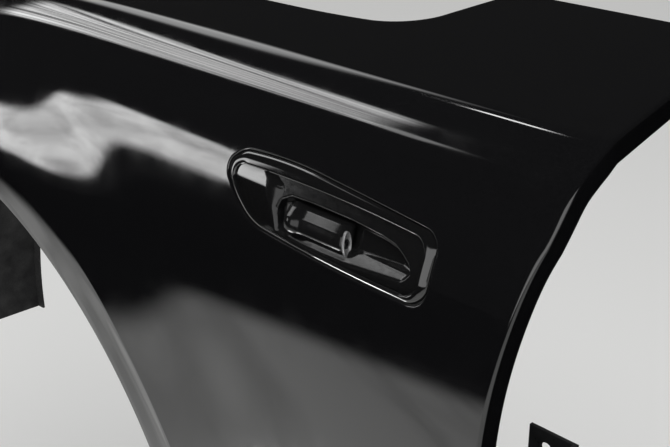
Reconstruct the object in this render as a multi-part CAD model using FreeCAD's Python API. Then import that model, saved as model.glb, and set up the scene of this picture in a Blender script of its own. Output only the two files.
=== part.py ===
import FreeCAD, Part
import math
import os

# Left front wing of a saloon car, with its side camera unit, arch liner and fixings.
# Millimetres. X runs rearward, Y towards the car's middle, Z up. Places are worked out
# from the wheel's centre, and the last step moves the origin to the rail bolts.

V = FreeCAD.Vector
os.makedirs("parts", exist_ok=True)

# Wheel arch
arch_r = 392.0          # outer edge of the lip's flat band
lip_width = 33.0
lip_y = -24.0
lip_return = 22.0
lip_fold = 4.0          # outer edge of the band, folded in under the skin
lip_lap = 1.5           # how far the skin's edge lies over the band
flare_reach = 85.0      # how far round the arch the skin swells out to the lip
arch_front_deg = 150.0

# Pressed skin
skin_t = 1.2            # aluminium sheet
return_depth = 14.0     # turned-in edge all round
shelf_width = 40.0      # bolting shelf beside the bonnet
crease_above = 106.0    # shoulder crease above the arch's edge
crease_y = 42.0
crease_z = arch_r + crease_above
side_height = 688.0     # from the crease down to the sill
sill_z = crease_z - side_height
nose_drop = 2.0e-4      # how fast the crease falls towards the headlamp
nose_drop_from = 200.0
nose_taper = 1.0e-4     # how fast the side turns in towards the bumper
nose_taper_from = 150.0
nose_beyond = 85.0      # nose end ahead of the arch
nose_above = 50.0       # nose corner above the arch's front end
nose_x = -arch_r - nose_beyond
nose_z = arch_r * math.sin(math.radians(arch_front_deg)) + nose_above
door_foot_x = 582.0
door_top_x = 617.0
cowl_y = 235.0
cowl_x = 585.0
bonnet_front_y = 152.0
bonnet_rear_y = 117.0
bonnet_corner_x = 401.0
station_step = 30.0
station_first = nose_x - 143.0
station_count = 48

# Profile of the body side: (inboard of the crease, above the crease)
deck_rows = [(225, 15.5), (180, 12.5), (140, 9.8), (105, 7.3), (75, 5.2), (50, 3.5),
             (30, 2.1), (15, 1.0), (6, 0.4), (0, 0)]
flank_rows = [(-7, -5), (-14, -11), (-20, -17), (-24, -23.5), (-27, -31), (-30.5, -39),
              (-35, -48), (-39, -57), (-42.5, -68), (-46, -82), (-50, -100), (-54, -122),
              (-57.5, -148), (-60, -180), (-61.5, -215), (-62, -255), (-61.5, -300),
              (-59.5, -350), (-56, -405), (-51, -465), (-44, -530), (-35, -600),
              (-24, -670), (-14, -725)]

# Stock that the outlines are cut from
stock_out = -150.0      # outboard
stock_in = 420.0        # inboard
stock_low = -320.0
stock_high = 640.0

# Side camera unit
curved_fit = 0.3        # clearance between curved faces of different pieces
unit_front = 372.0
unit_rear = 544.0
unit_below = 100.6      # its lowest edge under the crease
unit_above = 51.6       # its highest edge under the crease
unit_low = crease_z - unit_below
unit_high = crease_z - unit_above
unit_margin = 12.0
unit_gap = 0.8          # dark joint line round the frame
frame_proud = 0.2
frame_depth = 7.5
gasket_t = 2.0
gasket_wide = 8.0
gasket_sunk = 0.3       # clear of the skin where the side slopes
cover_depth = 0.35      # nose cover, just under the body's surface
cover_end = 411.0       # where the nose cover stops
tray_t = 2.0
tray_fit = 0.2
plate_depth = 3.0       # plate behind the nose cover
boat_front = 419.0
boat_rear = 530.0
boat_r = 13.5           # its axis stands outboard of the plate, so that it is a shallow hollow
boat_axis_out = 2.5
boat_z = unit_low + 17.6
pod_front = 437.0
pod_rear = 477.0
pod_low = -9.4          # under the boat's middle
pod_high = 8.4
pod_window = 1.0        # depth of its flat side window
pod_back = 9.2
neck_x = 433.0
neck_r = 5.4
neck_tilt = 22.0
lens_wide = 6.8
lens_high = 16.4
lens_t = 1.6
lens_r = 2.3
glass_sunk = 0.9
barrel_r = 3.0
barrel_length = 8.0
box_middle = 465.0
box_length = 96.0
box_height = 42.0
box_depth = 30.0
box_corner = 4.0
plug_length = 24.0
plug_height = 16.0
plug_depth = 12.0
plug_wall = 2.0

# Arch liner
liner_t = 2.5
liner_gap = 0.3
liner_clear = 19.0      # how far its crown stands above the lip's edge
liner_inner_y = 262.0
liner_front_deg = 184.0
liner_inset = 5.0
liner_hem = 14.0

# Brackets
bracket_t = 2.5
bracket_width = 60.0
rail_drop = 46.0        # from the crease down to the rail
rail_foot = 34.0
rail_bolt_pitch = 36.0
rail_bolt_r = 4.5
rail_bolt_share = 0.58  # how far along the foot the bolts stand
rail_leg_inset = 1.0    # leg's back inside the shelf's edge
rail_cap_inset = 6.0
rail_front_in = 187.0   # front bracket behind the nose
rail_x = [nose_x + rail_front_in, 20.0, 300.0]
pillar_z = 268.0
pillar_y = 78.0
pillar_reach = -12.0
sill_x = 500.0
sill_y = 72.0
sill_tab = 62.0
sill_tab_in = 16.0      # how far the tab runs on behind its bolts
guide_t = 3.0
guide_depth = 26.0
guide_nose_gap = 20.0
guide_arch_gap = 8.0
guide_low = 20.0        # under the arch's front end
guide_high = 70.0
guide_clear = 1.5       # behind the skin
foam_y = 40.0
foam_wide = 110.0
foam_high = 44.0
foam_start = 22.0
foam_turn = 24.0
bend_r = 3.0            # inside radius of a bracket's fold
rib_degrees = [-16.0, 6.0, 58.0, 80.0, 102.0, 124.0, 146.0]    # ribs, clear of the foam
rib_wide_deg = 2.4
rib_height = 3.0
rib_start_y = 52.0
rib_end_inset = 30.0


def place_xz(a, b):
    return V(a, stock_out, b)


def place_xy(a, b):
    return V(a, b, stock_low)


def place_yz(a, b):
    return V(0, a, b)


def outline(place, steps):
    """Closed face: a step (a, b) is a line, (am, bm, a, b) is an arc through (am, bm)."""
    here = place(*steps[0])
    edges = []
    for step in steps[1:] + [steps[0]]:
        there = place(*step[-2:])
        if (there - here).Length < 1e-6:
            continue
        if len(step) == 4:
            edges.append(Part.Arc(here, place(*step[:2]), there).toShape())
        else:
            edges.append(Part.LineSegment(here, there).toShape())
        here = there
    return Part.Face(Part.Wire(edges))


def sideways(face, start=stock_out, end=stock_in):
    return face.translated(V(0, start - stock_out, 0)).extrude(V(0, end - start, 0))


def upright(face):
    return face.extrude(V(0, 0, stock_high - stock_low))


def lengthways(face, start, end):
    return face.translated(V(start, 0, 0)).extrude(V(end - start, 0, 0))


def crease(x):
    back = max(0.0, nose_taper_from - x)
    drop = max(0.0, nose_drop_from - x)
    return crease_y + nose_taper * back ** 2, crease_z - nose_drop * drop ** 2


def flared(x, y, z):
    """Swells the side out so that it meets the flat band at the arch's edge."""
    reach = (arch_r + flare_reach - math.hypot(x, z)) / flare_reach
    if reach <= 0:
        return y
    swell = reach * reach * (1.5 - 0.5 * reach) if reach < 1.6 else 1.79 + (reach - 1.6)
    return y - max(6.0, y - lip_y) * swell


def body_side():
    """Control net of the outer surface, one row of points at each station along the car."""
    net = []
    for i in range(station_count):
        x = station_first + i * station_step
        y0, z0 = crease(x)
        rows = [V(x, y0 + dy, z0 + dz) for dy, dz in deck_rows]
        for dy, dz in flank_rows:
            rows.append(V(x, flared(x, y0 + dy, z0 + dz), z0 + dz))
        net.append(rows)
    return net


def inward(net, depth):
    """The same net moved square to itself, into the car."""
    last_i, last_j = len(net) - 1, len(net[0]) - 1
    moved = []
    for i, row in enumerate(net):
        new_row = []
        for j, point in enumerate(row):
            along = net[min(i + 1, last_i)][j] - net[max(i - 1, 0)][j]
            down = row[min(j + 1, last_j)] - row[max(j - 1, 0)]
            square = along.cross(down)
            square.normalize()
            new_row.append(point + square * depth)
        moved.append(new_row)
    return moved


def moved_in(net, depth):
    """The same net slid inboard and down, so that it is as deep under the deck as behind the side."""
    return [[point + V(0, depth, -depth) for point in row] for row in net]


def surface(net):
    count_u, count_v = len(net), len(net[0])
    knots_u = [float(k) for k in range(count_u - 2)]
    knots_v = [float(k) for k in range(count_v - 2)]
    mults_u = [4] + [1] * (len(knots_u) - 2) + [4]
    mults_v = [4] + [1] * (len(knots_v) - 2) + [4]
    sheet = Part.BSplineSurface()
    sheet.buildFromPolesMultsKnots(net, mults_u, mults_v, knots_u, knots_v, False, False, 3, 3)
    return sheet


def between(outer_net, inner_net):
    """Closed slab between two nets."""
    outer, inner = surface(outer_net), surface(inner_net)
    u0, u1, v0, v1 = outer.bounds()
    faces = [outer.toShape(), inner.toShape()]
    for u in (u0, u1):
        faces.append(Part.makeRuledSurface(outer.uIso(u).toShape(), inner.uIso(u).toShape()))
    for v in (v0, v1):
        faces.append(Part.makeRuledSurface(outer.vIso(v).toShape(), inner.vIso(v).toShape()))
    shell = Part.Shell(faces)
    shell.sewShape()
    solid = Part.Solid(shell)
    if solid.Volume < 0:
        solid.reverse()
    return solid


def on_arch(radius, degrees):
    return radius * math.cos(math.radians(degrees)), radius * math.sin(math.radians(degrees))


def side_face(inset):
    """Side view of the skin: sill, arch, nose and door edge."""
    edge_r = arch_r - lip_lap
    low = sill_z + inset
    foot_x = math.sqrt(edge_r ** 2 - low ** 2)
    front = on_arch(edge_r, arch_front_deg)
    rear = door_foot_x - inset
    return outline(place_xz, [
        (rear, low), (foot_x, low), (0, edge_r, front[0], front[1]),
        (front[0] - inset, front[1] + inset),
        (nose_x + inset + 22, nose_z + inset - 6),
        (nose_x + inset + 3, nose_z + inset + 3, nose_x + inset + 4, nose_z + 26),
        (nose_x + inset + 62, nose_z + 150), (nose_x + inset + 82, crease_z + 62),
        (door_top_x - inset, crease_z + 62), (door_top_x - inset, crease_z - 14),
        (door_top_x - 7.5 - inset, crease_z - 48),
        (door_top_x - 18.5 - inset, crease_z - 100, door_top_x - 24 - inset, crease_z - 168)])


def bonnet_line(away):
    """Bonnet edge in plan from the front to the cowl; away is how far off the edge, inboard."""
    side = bonnet_rear_y + away
    corner = bonnet_corner_x - away
    return [(nose_x - 43, bonnet_front_y + 12 + away),
            (bonnet_corner_x - 521, side - 1.5, bonnet_corner_x - 133, side - 6.3),
            (bonnet_corner_x - 71, side, corner - 29 + away * 0.75, side + 9),
            (corner - 7.7 + away * 0.2, side + 23.5 - away * 0.4, corner, side + 48 - away),
            (corner + 5, cowl_y + 90)]


def plan_face(inset):
    """Plan of the skin: bonnet edge, cowl end and door edge."""
    low, ahead = stock_out + 10, nose_x - 163
    return outline(place_xy, [(ahead, low), (ahead, bonnet_front_y + 20 - inset)]
                   + bonnet_line(-inset)[:-1]
                   + [(bonnet_corner_x + 4 + inset, cowl_y - inset), (cowl_x - inset, cowl_y - inset),
                      (door_top_x - 15 - inset, bonnet_rear_y + 1), (door_top_x - 0.8 - inset, crease_y - 4),
                      (door_top_x + 83, crease_y - 4), (door_top_x + 83, low)])


def shelf_steps(start, end):
    """Strip beside the bonnet edge, from one distance off it to another."""
    (x0, y0), (xm, ym, x1, y1), (xn, yn, x2, y2) = bonnet_line(start)[:3]
    wide = end - start
    return [(x0, y0), (xm, ym, x1, y1), (xn, yn, x2, y2), (x2, y2 + wide),
            (xn, yn + wide, x1, y1 + wide), (xm, ym + wide, x0, y0 + wide)]


def bonnet_edge_y(x):
    (x0, y0), (xm, ym, x1, y1) = bonnet_line(0)[:2]
    bow = Part.Arc(V(x0, y0, 0), V(xm, ym, 0), V(x1, y1, 0)).toShape().Curve
    return bow.Center.y - math.sqrt(bow.Radius ** 2 - (x - bow.Center.x) ** 2)


def lip_ring():
    """Flat band round the arch and its turned-in edge, one revolved section."""
    inner_r = arch_r - lip_width
    section = [(inner_r, lip_y), (arch_r, lip_y), (arch_r, lip_y + lip_fold),
               (arch_r - skin_t, lip_y + lip_fold), (arch_r - skin_t, lip_y + skin_t),
               (inner_r + skin_t, lip_y + skin_t), (inner_r + skin_t, lip_y + lip_return),
               (inner_r, lip_y + lip_return)]
    start = math.degrees(math.asin(sill_z / inner_r)) - 6
    ring = Part.Face(Part.makePolygon([V(r, y, 0) for r, y in section + section[:1]]))
    ring = ring.revolve(V(0, 0, 0), V(0, -1, 0), arch_front_deg - start)
    ring.rotate(V(0, 0, 0), V(0, -1, 0), start)
    return ring.common(Part.makeBox(3 * arch_r, stock_in - stock_out, 3 * arch_r,
                                    V(-1.5 * arch_r, stock_out, sill_z)))


def frame_outline():
    """Outer edge of the camera unit in side view, from its top front corner rearwards."""
    left, right, low, high = unit_front, unit_rear, unit_low, unit_high
    return [(left + 14, high - 1.7), (left + 44, high, left + 74, high - 0.7),
            (right - 54, high - 4, right - 10, high - 7.7), (right - 2.7, high - 11, right, high - 18.9),
            (right - 1.1, low + 13.6), (right - 4, low + 4.4, right - 14, low),
            (right - 69, low + 1.8, left + 40, low + 6), (left + 26, low + 9.5, left + 16.3, low + 15.4),
            (left + 9, low + 21.3, left + 3.4, low + 27.6), (left, high - 13.4, left + 4.6, high - 6.5),
            (left + 8.6, high - 3.6, left + 14, high - 1.7)]


def hollow_outline():
    """Inner edge of the unit's frame, which is wide above and behind and narrow below."""
    left, right, low, high = unit_front, unit_rear, unit_low, unit_high
    return [(left + 16, high - 9.8), (left + 45, high - 9.2, left + 74, high - 9.1),
            (right - 54, high - 10.1, right - 18, high - 12.1),
            (right - 10, high - 14.8, right - 6.6, high - 21.9), (right - 8, low + 15.6),
            (right - 10.5, low + 7.2, right - 18, low + 2.8), (right - 69, low + 3.3, left + 42, low + 7.5),
            (left + 28, low + 10.7, left + 19, low + 16.1), (left + 13, low + 21.3, left + 8.6, low + 26.8),
            (left + 5.8, high - 16.2, left + 8.4, high - 11.6),
            (left + 11.6, high - 10.1, left + 16, high - 9.8)]


def unit_face(steps, grow):
    """One of the unit's outlines as a face; grow widens it all round."""
    face = outline(place_xz, steps)
    if grow:
        face = Part.Face(face.makeOffset2D(grow).OuterWire)
    return face


def wing_panel(net):
    whole = sideways(side_face(0)).common(upright(plan_face(0)))
    pocket = sideways(side_face(skin_t)).common(upright(plan_face(skin_t)))
    block = between(net, moved_in(net, return_depth)).common(whole)
    inside = between(inward(net, skin_t), moved_in(net, return_depth + 6)).common(pocket)
    panel = block.cut(inside)
    shelf_top = moved_in(net, return_depth - skin_t)
    shelf_under = moved_in(net, return_depth)
    strip = outline(place_xy, shelf_steps(-skin_t, shelf_width))
    front_stop = sideways(side_face(0))
    shelf = between(shelf_top, shelf_under).common(upright(strip)).common(front_stop)
    panel = panel.fuse(shelf).fuse(lip_ring())
    return panel.cut(sideways(unit_face(frame_outline(), unit_gap), stock_out, crease_y + lip_return))


def rail_leg_y(x):
    return bonnet_edge_y(x) + shelf_width - bracket_t - rail_leg_inset


def rail_seat(x):
    """Middle of the two bolts under a rail bracket, on its seating face."""
    return V(x, rail_leg_y(x) + rail_foot * rail_bolt_share, crease(x)[1] - rail_drop)


def export(name, shape):
    shape = shape.translated(-rail_seat(rail_x[1]))
    if shape.ShapeType == "Compound" and len(shape.Solids) == 1:
        shape = shape.Solids[0]
    shape.exportStep("parts/" + name + ".step")
    print(name, len(shape.Solids), round(shape.Volume / 1000, 1), shape.isValid())


def side_line(net):
    """The body's side in section at the middle of the camera unit."""
    station = ((unit_front + unit_rear) / 2 - station_first) / station_step - 1
    return surface(net).uIso(station)


def side_y(side, z):
    """How far inboard the body's side lies beside the camera unit, at a height."""
    high, low = side.FirstParameter, side.LastParameter
    for _ in range(40):
        middle = (high + low) / 2
        if side.value(middle).z > z:
            high = middle
        else:
            low = middle
    return side.value(high).y


def side_band(side, front, back):
    """Bar along the car between two depths behind the body's side, as long as the unit."""
    bottom, top = unit_low - unit_margin, unit_high + unit_margin
    heights = [bottom + (top - bottom) * k / 6 for k in range(7)]
    line = [(side_y(side, z), z) for z in heights]
    near = [(y + front, z) for y, z in line]
    far = [(y + back, z) for y, z in reversed(line)]
    steps = [near[0]] + [near[k] + near[k + 1] for k in (1, 3, 5)]
    steps += [far[0]] + [far[k] + far[k + 1] for k in (1, 3, 5)]
    return lengthways(outline(place_yz, steps), unit_front - unit_margin, unit_rear + unit_margin)


def through(steps, grow):
    """One of the unit's outlines carried through its whole depth."""
    return sideways(unit_face(steps, grow), stock_out, crease_y + 2 * box_depth)


def rounded_box(left, low, right, high, corner):
    """Rectangle with round corners in side view."""
    k = corner * (1 - math.sqrt(0.5))
    return outline(place_xz, [(left + corner, low), (right - corner, low),
                              (right - k, low + k, right, low + corner), (right, high - corner),
                              (right - k, high - k, right - corner, high), (left + corner, high),
                              (left + k, high - k, left, high - corner), (left, low + corner),
                              (left + k, low + k, left + corner, low)])


def boat_side(side, grow):
    """Half section of the boat's hollow round the camera's view: blunt ahead, pointed behind."""
    axis_y = side_y(side, boat_z) + plate_depth - boat_axis_out
    start, end, radius = boat_front - grow, boat_rear + grow, boat_r + grow
    swell = pod_rear - boat_front
    return outline(lambda a, r: V(a, axis_y + r, boat_z), [
        (start, 0), (start + 3.2, radius * 0.64, start + 14, radius * 0.87),
        (start + swell, radius), ((start + swell + end) / 2 + 4, radius * 0.8, end, 0)])


def turned(face):
    """The boat's half section turned about its own axis."""
    return face.revolve(face.Vertexes[0].Point, V(1, 0, 0), 360)


def hull(side, grow):
    """Outside of the boat, in straight cones."""
    points = []
    for edge in boat_side(side, grow).OuterWire.OrderedEdges:
        cuts = edge.discretize(4 if edge.Curve.TypeId == "Part::GeomCircle" else 2)
        points += cuts if not points or (cuts[0] - points[-1]).Length < 1e-6 else cuts[::-1]
    return turned(Part.Face(Part.makePolygon(points)))


def camera_dish(side):
    """Moulded tray in the frame: a nose cover level with the body, a step, and the boat's hollow."""
    rim = side_band(side, frame_depth, frame_depth + tray_t).common(through(frame_outline(), -unit_gap))
    inside = through(hollow_outline(), -tray_fit)
    pocket = through(hollow_outline(), -tray_fit - tray_t)
    ahead = sideways(rounded_box(unit_front - unit_margin, unit_low, cover_end, unit_high, tray_t))
    ahead_pocket = sideways(rounded_box(unit_front - unit_margin, unit_low, cover_end - tray_t,
                                        unit_high, tray_t))
    cover = side_band(side, cover_depth, frame_depth + tray_t).common(inside).common(ahead)
    plate = side_band(side, plate_depth, frame_depth + tray_t).common(inside)
    cover_room = side_band(side, cover_depth + tray_t, frame_depth + tray_t).common(pocket)
    cover_room = cover_room.common(ahead_pocket)
    plate_room = side_band(side, plate_depth + tray_t, frame_depth + tray_t).common(pocket)
    tray = rim.fuse(cover).fuse(plate).cut(cover_room).cut(plate_room)
    shell = hull(side, tray_t)
    tray = tray.fuse(shell.common(side_band(side, plate_depth, frame_depth)).common(inside))
    tray = tray.fuse(shell.common(side_band(side, frame_depth, box_depth)))
    return tray.cut(turned(boat_side(side, 0)))


def camera_pod(side):
    """Pod with a flat side window, a wide bevel above it and a round neck at its root."""
    def at(z, depth):
        return side_y(side, boat_z + z) + depth, boat_z + z

    section = [at(pod_low, 4.8), at(pod_low + 1.3, 2.2) + at(pod_low + 4.4, pod_window),
               at(0, pod_window) + at(2.2, pod_window), at(3.6, 1.9), at(pod_high - 0.2, 5.9),
               at(pod_high, 6.2), at(4, pod_back), at(-4, pod_back)]
    pod = lengthways(outline(place_yz, section), pod_front, pod_rear)
    neck_y = side_y(side, boat_z) + pod_window + neck_r
    neck = outline(lambda r, z: V(neck_x + r, neck_y, boat_z + z), [
        (0, pod_low), (neck_r * 0.44, pod_low + 1.4), (neck_r * 0.84, pod_low * 0.5), (neck_r, 0),
        (neck_r * 0.84, pod_high * 0.6), (neck_r * 0.44, pod_high - 0.4), (0, pod_high)])
    middle = V(neck_x, neck_y, boat_z)
    neck = neck.revolve(middle, V(0, 0, 1), 360)
    neck.rotate(middle, V(0, 1, 0), neck_tilt)
    pod = pod.fuse(neck)
    bore = Part.makeCylinder(barrel_r + curved_fit, barrel_length + curved_fit,
                             lens_place(side) - V(barrel_length + curved_fit, 0, 0), V(1, 0, 0))
    return pod.cut(bore)


def lens_place(side):
    """Middle of the lens on the pod's rear end."""
    return V(pod_rear, side_y(side, boat_z) + pod_window + lens_wide / 2 + 0.6, boat_z)


def lens_ring(side):
    """Oval ring on the pod's rear end, coned down to the lens."""
    at = lens_place(side)
    round_r = lens_wide / 2
    half = lens_high / 2 - round_r
    face = outline(lambda a, b: V(at.x, at.y + a, at.z + b), [
        (-round_r, -half), (0, -half - round_r, round_r, -half), (round_r, half),
        (0, half + round_r, -round_r, half)])
    ring = face.extrude(V(lens_t, 0, 0))
    bore = Part.makeCone(lens_r + 0.1, round_r - 0.5, lens_t, at, V(1, 0, 0))
    return ring.cut(bore)


def socket_block(middle_x, inset):
    """Bar across the car with the outline of the plug's socket."""
    half_x, half_z = plug_length / 2 - inset, plug_height / 2 - inset
    return sideways(rounded_box(middle_x - half_x, boat_z - half_z, middle_x + half_x, boat_z + half_z, 1.5))


def camera_case(side):
    """Sealed box behind the tray, with the plug's socket on its back."""
    front, back = frame_depth + tray_t, frame_depth + tray_t + box_depth
    left, right = box_middle - box_length / 2, box_middle + box_length / 2
    box = side_band(side, front, back)
    box = box.common(sideways(rounded_box(left, unit_low, right, unit_low + box_height, box_corner)))
    socket = socket_block(left + plug_length, 0).common(side_band(side, back - 1, back + plug_depth))
    well = socket_block(left + plug_length, plug_wall)
    well = well.common(side_band(side, back + plug_wall, back + plug_depth + 1))
    return box.fuse(socket).cut(well).cut(hull(side, tray_t + curved_fit))


def camera_unit(side):
    """Frame, seal, tray, pod with its lens, and the case behind."""
    frame = side_band(side, -frame_proud, frame_depth).common(through(frame_outline(), 0))
    export("camera_bezel", frame.cut(through(hollow_outline(), 0)))
    seal = side_band(side, skin_t + gasket_sunk, skin_t + gasket_sunk + gasket_t)
    seal = seal.common(through(frame_outline(), gasket_wide))
    export("bezel_gasket", seal.cut(through(frame_outline(), curved_fit)))
    export("camera_dish", camera_dish(side))
    export("camera_pod", camera_pod(side))
    export("lens_ring", lens_ring(side))
    at = lens_place(side)
    barrel = Part.makeCylinder(barrel_r, barrel_length - lens_r, at - V(barrel_length, 0, 0), V(1, 0, 0))
    export("lens_barrel", barrel)
    dome = outline(lambda a, r: at + V(a, 0, r), [
        (-lens_r, 0), (-lens_r, lens_r - 0.2), (0.2, lens_r - 0.2), (0.9, lens_r * 0.65),
        (1.3, lens_r * 0.35), (lens_r - glass_sunk, 0)])
    export("lens_glass", dome.revolve(at, V(1, 0, 0), 360))
    export("camera_case", camera_case(side))


def liner_rim_r():
    """Radius of the liner's outer face where it lies under the lip's turned-in edge."""
    return arch_r - lip_width - liner_gap


def arch_liner():
    """Moulded shell over the wheel, with a rim under the lip's edge and a raised crown."""
    low_r = liner_rim_r()
    rim_y = lip_y + liner_inset
    step_y = lip_y + lip_return
    high_r = low_r + liner_clear
    section = [(low_r, rim_y), (low_r, step_y), (high_r, step_y + liner_clear),
               (high_r, liner_inner_y), (high_r - liner_hem, liner_inner_y),
               (high_r - liner_hem, liner_inner_y - liner_t), (high_r - liner_t, liner_inner_y - liner_t),
               (high_r - liner_t, step_y + liner_clear + liner_t), (low_r - liner_t, step_y + liner_t),
               (low_r - liner_t, rim_y)]
    start = math.degrees(math.asin(sill_z / low_r))
    shell = Part.Face(Part.makePolygon([V(r, y, 0) for r, y in section + section[:1]]))
    shell = shell.revolve(V(0, 0, 0), V(0, -1, 0), liner_front_deg - start)
    shell.rotate(V(0, 0, 0), V(0, -1, 0), start)
    rib = Part.Face(Part.makePolygon([V(r, y, 0) for r, y in (
        (high_r - 1, rib_start_y), (high_r + rib_height, rib_start_y + rib_height + 1),
        (high_r + rib_height, liner_inner_y - rib_end_inset - rib_height),
        (high_r - 1, liner_inner_y - rib_end_inset), (high_r - 1, rib_start_y))]))
    rib = rib.revolve(V(0, 0, 0), V(0, -1, 0), rib_wide_deg)
    for degrees in rib_degrees:
        turned = rib.copy()
        turned.rotate(V(0, 0, 0), V(0, -1, 0), degrees)
        shell = shell.fuse(turned)
    return shell


def drilled(shape, points, axis, radius):
    for point in points:
        bore = Part.makeCylinder(radius, 40, point - axis * 20, axis)
        shape = shape.cut(bore)
    return shape


def rail_bracket(net, x):
    """Folded step that hangs from the shelf and stands on the body's rail."""
    seat = rail_seat(x)
    half = bracket_width / 2
    leg_y = rail_leg_y(x)
    foot_z = seat.z
    hang = between(moved_in(net, return_depth), moved_in(net, return_depth + bracket_t))
    cap_y = bonnet_edge_y(x) + rail_cap_inset
    cap = hang.common(Part.makeBox(bracket_width, leg_y + bracket_t - cap_y, 3 * rail_drop,
                                   V(x - half, cap_y, foot_z - rail_drop)))
    under = between(moved_in(net, return_depth), moved_in(net, return_depth + 1.5 * rail_drop))
    bend = bracket_t + bend_r
    swing = bend * (1 - math.sqrt(0.5))
    turn = bend - bend_r * math.sqrt(0.5)
    top = foot_z + 2 * rail_drop
    fold = outline(place_yz, [
        (leg_y + rail_foot, foot_z), (leg_y + bend, foot_z),
        (leg_y + swing, foot_z + swing, leg_y, foot_z + bend), (leg_y, top), (leg_y + bracket_t, top),
        (leg_y + bracket_t, foot_z + bend),
        (leg_y + turn, foot_z + turn, leg_y + bend, foot_z + bracket_t),
        (leg_y + rail_foot, foot_z + bracket_t)])
    bracket = cap.fuse(lengthways(fold, x - half, x + half).common(under))
    bolts = [seat + V(side * rail_bolt_pitch / 2, 0, 0) for side in (-1, 1)]
    return drilled(bracket, bolts, V(0, 0, 1), rail_bolt_r)


def edge_band(thick, start, end):
    """Strip that lies against the inside of the turned-in edge, seen from the side."""
    outer = sideways(side_face(skin_t), start, end)
    return outer.cut(sideways(side_face(skin_t + thick), start - 1, end + 1))


def pillar_seat():
    """Middle of the two bolts on the hinge pillar."""
    return V(door_foot_x + pillar_reach, pillar_y, pillar_z)


def pillar_bracket():
    """Angle between the door edge and the hinge pillar."""
    low, high = pillar_z - bracket_width / 2, pillar_z + bracket_width / 2
    window = Part.makeBox(200, 400, high - low, V(door_foot_x - 100, -100, low))
    leg = edge_band(bracket_t, lip_y + 12, pillar_y).common(window)
    back_x = leg.BoundBox.XMax
    foot = Part.makeBox(rail_foot, bracket_t, high - low, V(back_x - rail_foot, pillar_y - bracket_t, low))
    bolts = [pillar_seat() + V(0, 0, side * rail_bolt_pitch / 2) for side in (-1, 1)]
    return drilled(leg.fuse(foot), bolts, V(0, 1, 0), rail_bolt_r)


def sill_seat():
    """Middle of the two bolts under the sill, on the tab's upper face."""
    return V(sill_x, sill_y, sill_z + skin_t + bracket_t)


def sill_bracket():
    """Tab at the foot of the wing, bolted up to the sill."""
    seat = sill_seat()
    plate = Part.makeBox(bracket_width, sill_tab, bracket_t,
                         seat + V(-bracket_width / 2, sill_tab_in - sill_tab, -bracket_t))
    bolts = [seat + V(side * rail_bolt_pitch / 2, 0, 0) for side in (-1, 1)]
    return drilled(plate, bolts, V(0, 0, 1), rail_bolt_r)


def bumper_guide(net):
    """Plastic rail along the lower front edge that the bumper's corner clips to."""
    front = on_arch(arch_r, arch_front_deg)
    start = nose_x + guide_nose_gap
    band = edge_band(guide_t, stock_out, stock_in)
    window = Part.makeBox(front[0] - guide_arch_gap - start, stock_in - stock_out, guide_low + guide_high,
                          V(start, stock_out, front[1] - guide_low))
    deep = between(moved_in(net, skin_t + guide_clear), moved_in(net, guide_depth))
    return deep.common(band.common(window))


def foam_baffle():
    """Foam block on the back of the liner that closes the gap up to the skin."""
    low_r = liner_rim_r() + liner_clear
    block = Part.Face(Part.makePolygon([V(low_r, foam_y, 0), V(low_r + foam_high, foam_y, 0),
                                        V(low_r + foam_high, foam_y + foam_wide, 0),
                                        V(low_r, foam_y + foam_wide, 0), V(low_r, foam_y, 0)]))
    block = block.revolve(V(0, 0, 0), V(0, -1, 0), foam_turn)
    block.rotate(V(0, 0, 0), V(0, -1, 0), foam_start)
    return block


net = body_side()
export("wing_panel", wing_panel(net))
camera_unit(side_line(net))
export("arch_liner", arch_liner())
for name, x in zip(("front", "middle", "rear"), rail_x):
    export("rail_bracket_" + name, rail_bracket(net, x))
export("pillar_bracket", pillar_bracket())
export("sill_bracket", sill_bracket())
export("bumper_guide", bumper_guide(net))
export("foam_baffle", foam_baffle())
for seat in [rail_seat(x) for x in rail_x] + [pillar_seat(), sill_seat()]:
    print("bolts at", seat - rail_seat(rail_x[1]))
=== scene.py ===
import math

import bmesh
import bpy
import numpy as np
from mathutils import Matrix, Vector
from mathutils.geometry import delaunay_2d_cdt


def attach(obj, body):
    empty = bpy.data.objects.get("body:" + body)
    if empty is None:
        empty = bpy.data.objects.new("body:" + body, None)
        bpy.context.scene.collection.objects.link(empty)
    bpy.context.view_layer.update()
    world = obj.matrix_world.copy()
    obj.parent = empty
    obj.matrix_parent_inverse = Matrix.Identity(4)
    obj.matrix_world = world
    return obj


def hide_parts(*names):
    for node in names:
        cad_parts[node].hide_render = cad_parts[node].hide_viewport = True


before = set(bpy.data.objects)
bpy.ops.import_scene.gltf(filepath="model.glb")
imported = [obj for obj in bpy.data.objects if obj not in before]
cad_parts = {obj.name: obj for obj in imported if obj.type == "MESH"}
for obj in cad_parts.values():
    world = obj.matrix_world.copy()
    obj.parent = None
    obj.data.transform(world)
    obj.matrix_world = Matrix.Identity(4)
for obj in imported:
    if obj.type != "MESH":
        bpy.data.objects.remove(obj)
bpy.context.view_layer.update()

scene = bpy.context.scene

# Wing skin
# The wing is pressed from 1.2 mm aluminium sheet and bolted on by brackets. A tight shoulder crease
# and a soft roll lie under its nearly level deck, and the side swells out to the flat lip of the arch.
# Lengths are in millimetres from the arch's centre, and at_car() turns them into the frame.
MM = 0.001
arch_centre = Vector((-20.0, -165.23127, -445.52)) * MM
skin_thickness = 1.2
crease_y, crease_z = 42.0, 498.0
nose_drop, nose_drop_from = 2.0e-4, 200.0
nose_taper, nose_taper_from = 1.0e-4, 150.0
station_first, station_step, station_count = -620.0, 30.0, 48
arch_radius, lip_width, lip_y = 392.0, 33.0, -24.0
flare_reach, least_swell, flare_end, flare_end_swell = 85.0, 6.0, 1.6, 1.79
sill_z = -190.0

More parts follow.
